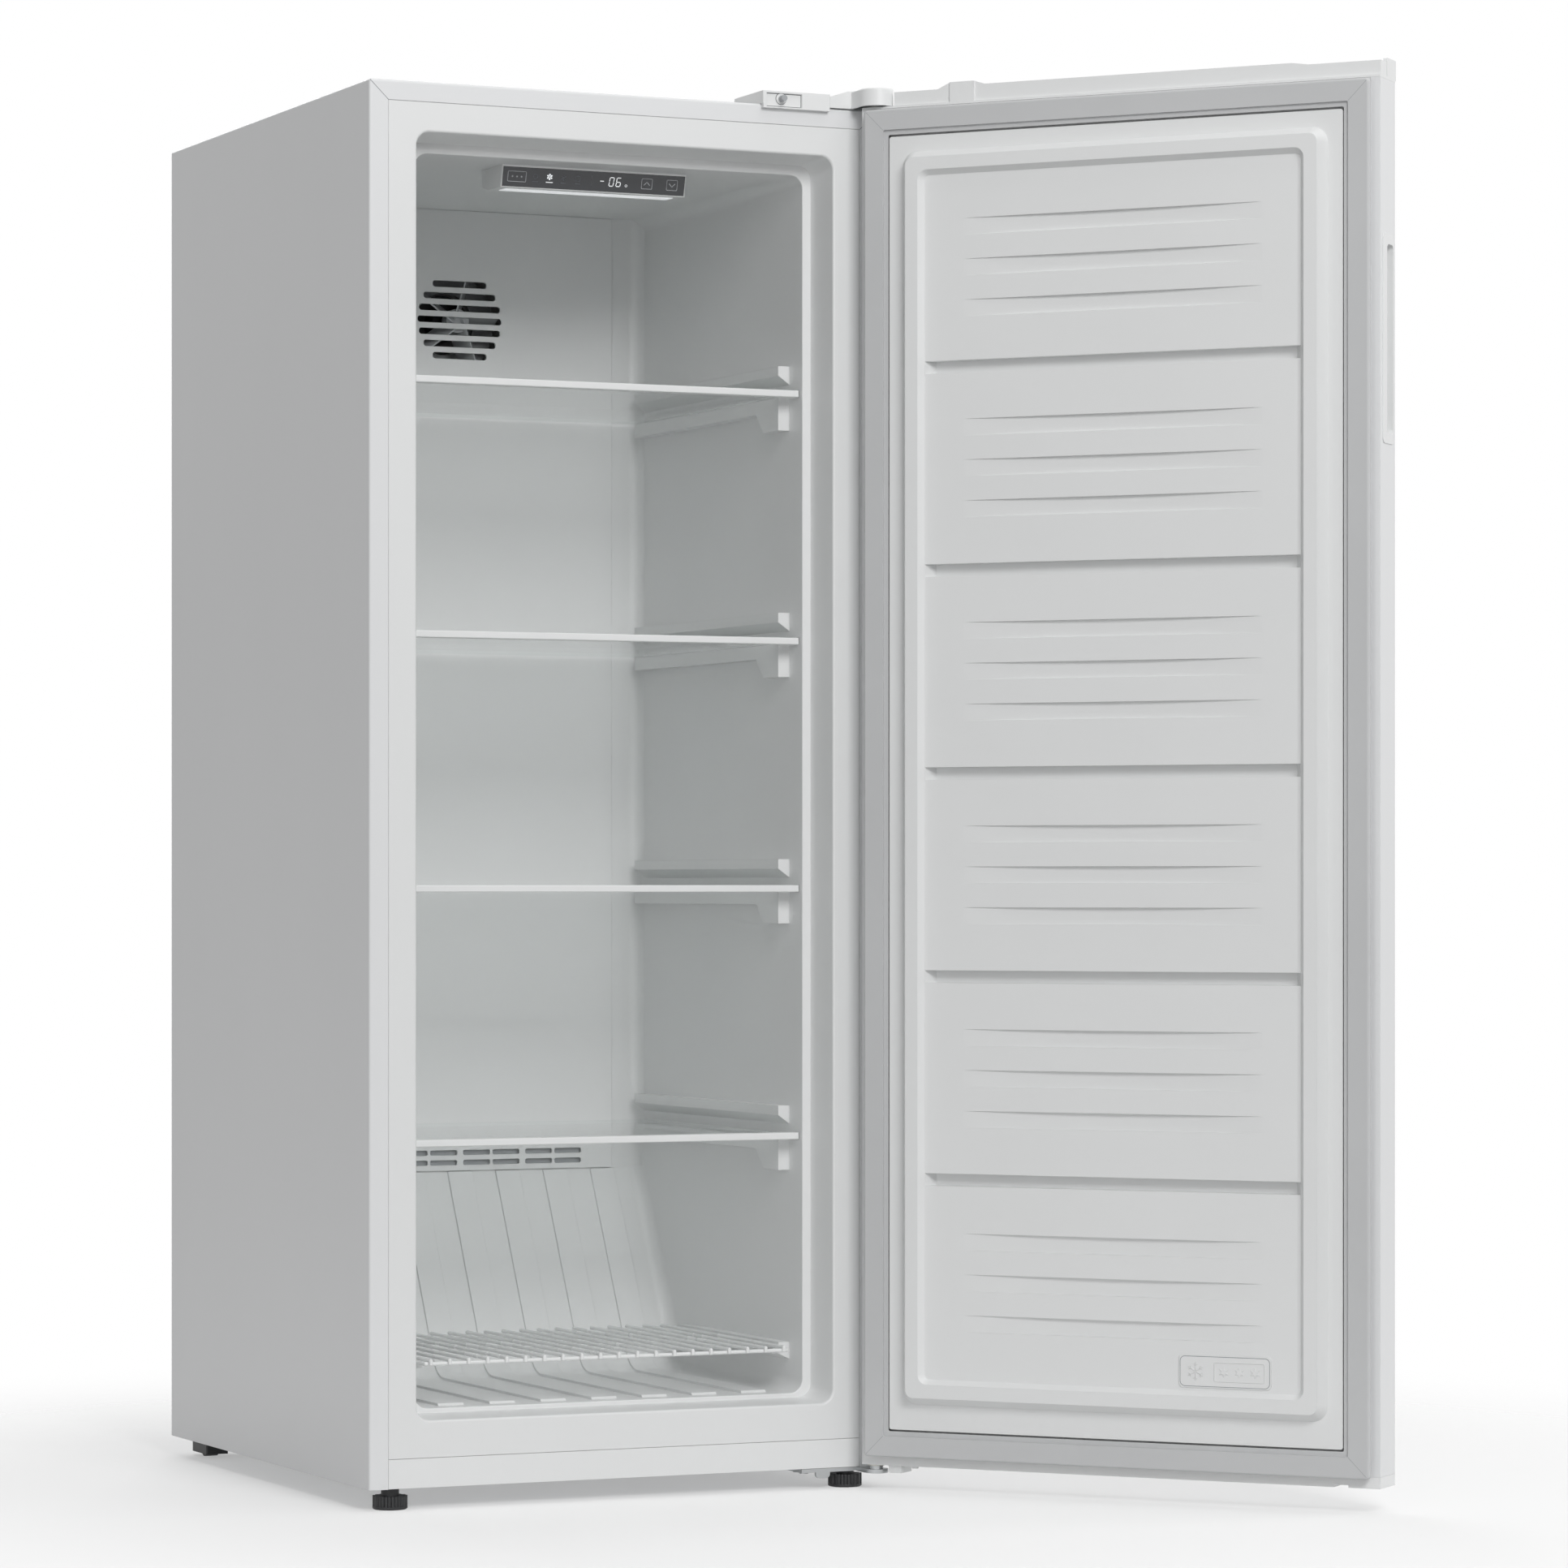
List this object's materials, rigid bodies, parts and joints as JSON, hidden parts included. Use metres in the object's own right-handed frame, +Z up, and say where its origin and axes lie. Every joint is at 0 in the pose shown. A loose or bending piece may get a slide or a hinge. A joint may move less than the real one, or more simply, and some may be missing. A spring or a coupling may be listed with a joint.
{
  "type": "upright freezer",
  "caption": "Tall white single-door freezer standing open, with glass shelves, a wire shelf, a ribbed inner door and a control strip under its ceiling.",
  "frame": {"origin": "on the floor under the middle of the whole freezer's box with its door standing open as in the picture", "axes": "+X to the viewer's right across the cabinet's front, +Y from the front to the back, +Z up"},
  "size_m": [0.9296, 1.0598, 1.4408],
  "materials": {
    "white_steel": "satin white paint",
    "grey_steel": "galvanised",
    "liner": "satin white",
    "trim": "satin white",
    "glass": "clear",
    "coated_wire": "white coating",
    "seal": "soft grey",
    "foam": "foam",
    "black_plastic": "matte black",
    "bearing": "natural",
    "hinge_steel": "zinc plated",
    "fascia": "gloss dark grey",
    "lens": "frosted",
    "board": "circuit board",
    "black_steel": "gloss black",
    "copper": "drawn copper",
    "aluminium": "mill",
    "heater_sheath": "satin"
  },
  "bodies": {
    "cabinet": {"outer_wrapper": "white_steel", "back_panel": "grey_steel", "cabinet_foam": "foam", "inner_liner": "liner", "toe_kick": "trim", "base_tray": "grey_steel", "step_panel": "grey_steel", "compressor": "black_steel", "compressor_grommets": "black_plastic", "start_relay": "black_plastic", "discharge_tube": "copper", "filter_drier": "copper", "suction_tube": "copper", "drain_pan": "black_plastic", "drain_tube": "bearing", "evaporator": "aluminium", "defrost_heater": "heater_sheath", "evaporator_cover": "liner", "fan_motor": "black_plastic", "control_box": "black_plastic", "panel_housing": "trim", "display_fascia": "fascia", "lamp_lens": "lens", "lamp_board": "board", "temperature_sensor": "trim", "top_hinge_bracket": "hinge_steel", "top_hinge_screws": "hinge_steel", "hinge_cover": "trim", "bottom_hinge_bracket": "hinge_steel", "bottom_hinge_screws": "hinge_steel", "compressor_cover": "grey_steel", "mains_inlet": "black_plastic", "left_supports": "liner", "right_supports": "liner", "rear_brackets": "black_plastic"},
    "door": {"door_panel": "white_steel", "door_foam": "foam", "door_liner": "liner", "door_gasket": "seal", "door_top_cap": "trim", "door_bottom_cap": "trim", "grip_insert": "trim", "top_bushing": "bearing", "bottom_bushing": "bearing", "door_stop": "trim"},
    "wire_shelf": {"wire_shelf": "coated_wire"},
    "fan_blade": {"fan_blade": "black_plastic"},
    "switch_plunger": {"switch_plunger": "trim"},
    "left_foot": {"left_foot": "black_plastic"},
    "right_foot": {"right_foot": "black_plastic"},
    "left_roller": {"left_roller": "black_plastic"},
    "right_roller": {"right_roller": "black_plastic"},
    "shelf_1": {"shelf_glass_1": "glass", "shelf_trim_1": "trim"},
    "shelf_2": {"shelf_glass_2": "glass", "shelf_trim_2": "trim"},
    "shelf_3": {"shelf_glass_3": "glass", "shelf_trim_3": "trim"},
    "shelf_4": {"shelf_glass_4": "glass", "shelf_trim_4": "trim"}
  },
  "joints": [
    {"name": "door_hinge", "type": "hinge", "parent": "cabinet", "child": "door", "pos_m": [0.08302, -0.10252, 0.721], "axis": [0, 0, 1], "range_deg": [-130, 0]},
    {"name": "shelf_1_slide", "type": "slide", "parent": "cabinet", "child": "shelf_1", "axis": [0, -1, 0], "range_m": [0, 0.3]},
    {"name": "shelf_2_slide", "type": "slide", "parent": "cabinet", "child": "shelf_2", "axis": [0, -1, 0], "range_m": [0, 0.3]},
    {"name": "shelf_3_slide", "type": "slide", "parent": "cabinet", "child": "shelf_3", "axis": [0, -1, 0], "range_m": [0, 0.3]},
    {"name": "shelf_4_slide", "type": "slide", "parent": "cabinet", "child": "shelf_4", "axis": [0, -1, 0], "range_m": [0, 0.3]},
    {"name": "wire_shelf_slide", "type": "slide", "parent": "cabinet", "child": "wire_shelf", "axis": [0, -1, 0], "range_m": [0, 0.28]},
    {"name": "fan_spin", "type": "hinge", "parent": "cabinet", "child": "fan_blade", "pos_m": [-0.18478, 0.40008, 1.236], "axis": [0, 1, 0], "continuous": true},
    {"name": "switch_press", "type": "slide", "parent": "cabinet", "child": "switch_plunger", "axis": [0, 1, 0], "range_m": [0, 0.005], "stiffness_N_per_m": 200, "springref_m": -0.006},
    {"name": "left_foot_screw", "type": "hinge", "parent": "cabinet", "child": "left_foot", "pos_m": [-0.43578, -0.06192, 0.007], "axis": [0, 0, 1], "continuous": true},
    {"name": "right_foot_screw", "type": "hinge", "parent": "cabinet", "child": "right_foot", "pos_m": [0.06622, -0.06192, 0.007], "axis": [0, 0, 1], "continuous": true},
    {"name": "left_roller_spin", "type": "hinge", "parent": "cabinet", "child": "left_roller", "pos_m": [-0.43078, 0.50008, 0.009], "axis": [1, 0, 0], "continuous": true},
    {"name": "right_roller_spin", "type": "hinge", "parent": "cabinet", "child": "right_roller", "pos_m": [0.06122, 0.50008, 0.009], "axis": [1, 0, 0], "continuous": true}
  ]
}
